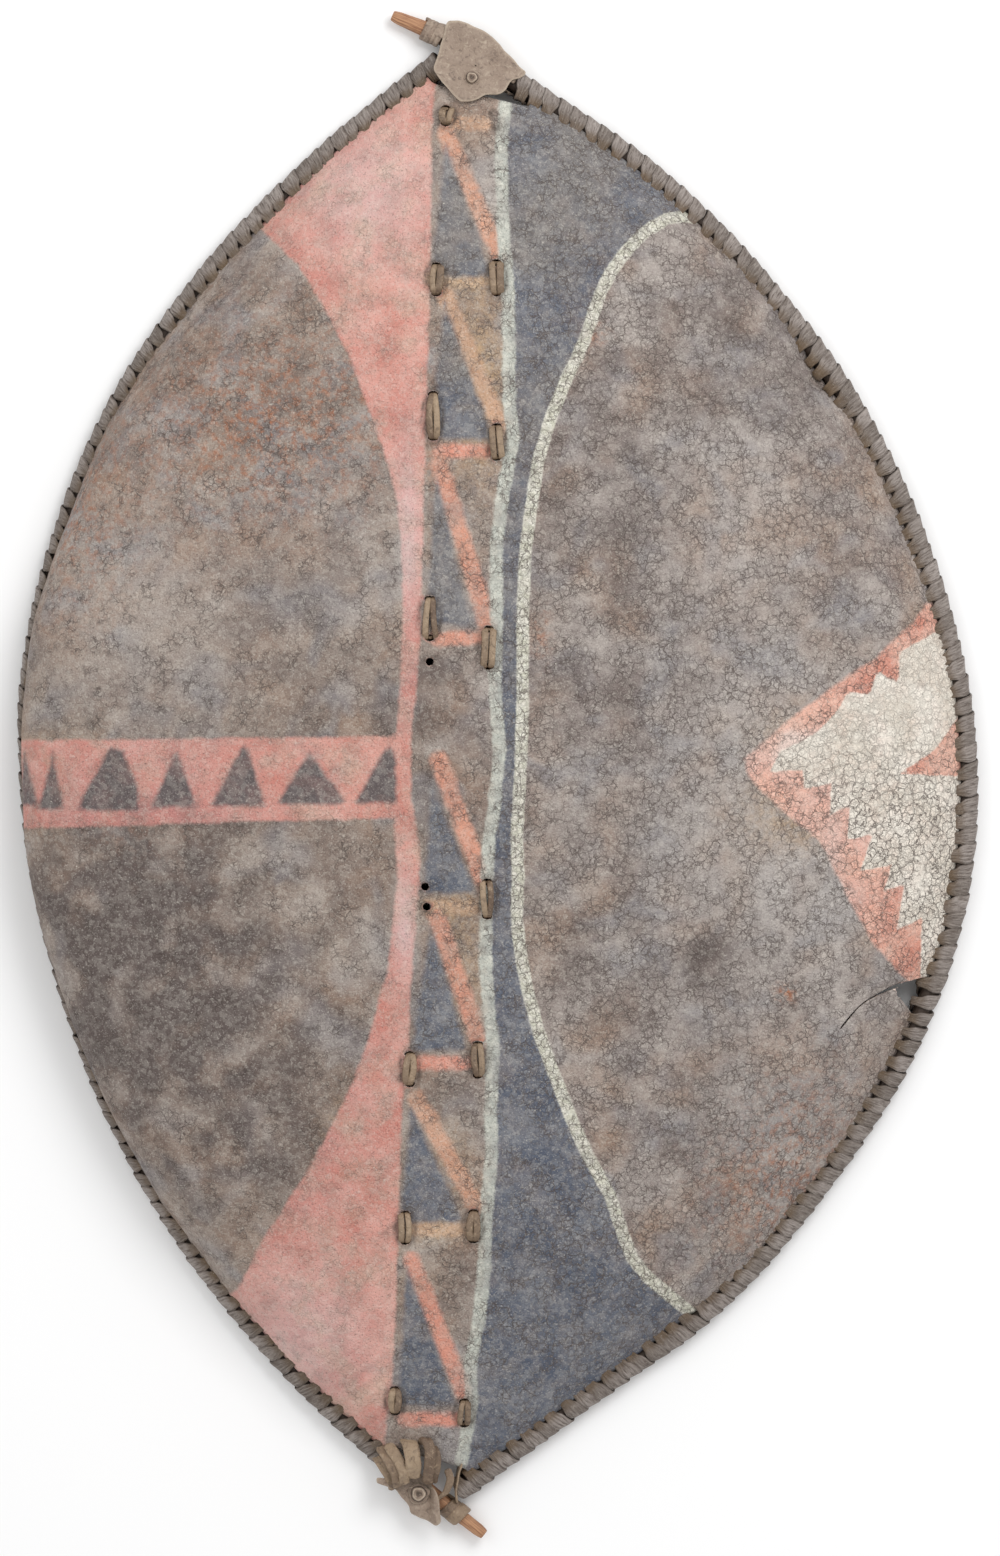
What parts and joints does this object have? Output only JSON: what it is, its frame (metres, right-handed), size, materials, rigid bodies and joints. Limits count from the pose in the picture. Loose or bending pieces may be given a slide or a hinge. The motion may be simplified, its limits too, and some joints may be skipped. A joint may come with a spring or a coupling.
{
  "type": "hide shield",
  "caption": "Leaf-shaped domed hide shield with painted panels, laced wooden stave and leather-bound rim, lying face up.",
  "frame": {"origin": "middle of the underside of the whole shield's box; the rim's binding rests on the plane z = 0", "axes": "+Y runs along the shield to its top tip, +X to the right as seen from the front, +Z out of the face"},
  "size_m": [0.6322, 1.0006, 0.0955],
  "materials": {
    "rawhide": "thick grained rawhide painted with red ochre, cream and blue-black earth colours, cracked and rubbed",
    "binding_leather": "dull grey-brown wound strip, edges lighter",
    "thong_leather": "dark brown twisted thong, hardened and dusty",
    "patch_leather": "brown leather, rubbed and slightly glossy",
    "rod_wood": "peeled stick, orange-brown, split and worn",
    "stave_wood": "hand-carved, darkened and polished by the hand at the grip"
  },
  "bodies": {
    "root": {"hide": "rawhide", "rim_rod_right": "rod_wood", "rim_rod_left": "rod_wood", "binding_right": "binding_leather", "binding_left": "binding_leather", "stave": "stave_wood", "lacing_1": "thong_leather", "lacing_2": "thong_leather", "lacing_3": "thong_leather", "lacing_4": "thong_leather", "lacing_5": "thong_leather", "lacing_6": "thong_leather", "lacing_7": "thong_leather", "lacing_8": "thong_leather", "tip_cap": "patch_leather", "tip_knot": "patch_leather", "tip_wrap": "binding_leather", "tail_wrap": "thong_leather", "tail_strap": "thong_leather", "tail_tab": "patch_leather", "tail_knot": "patch_leather"}
  },
  "joints": []
}
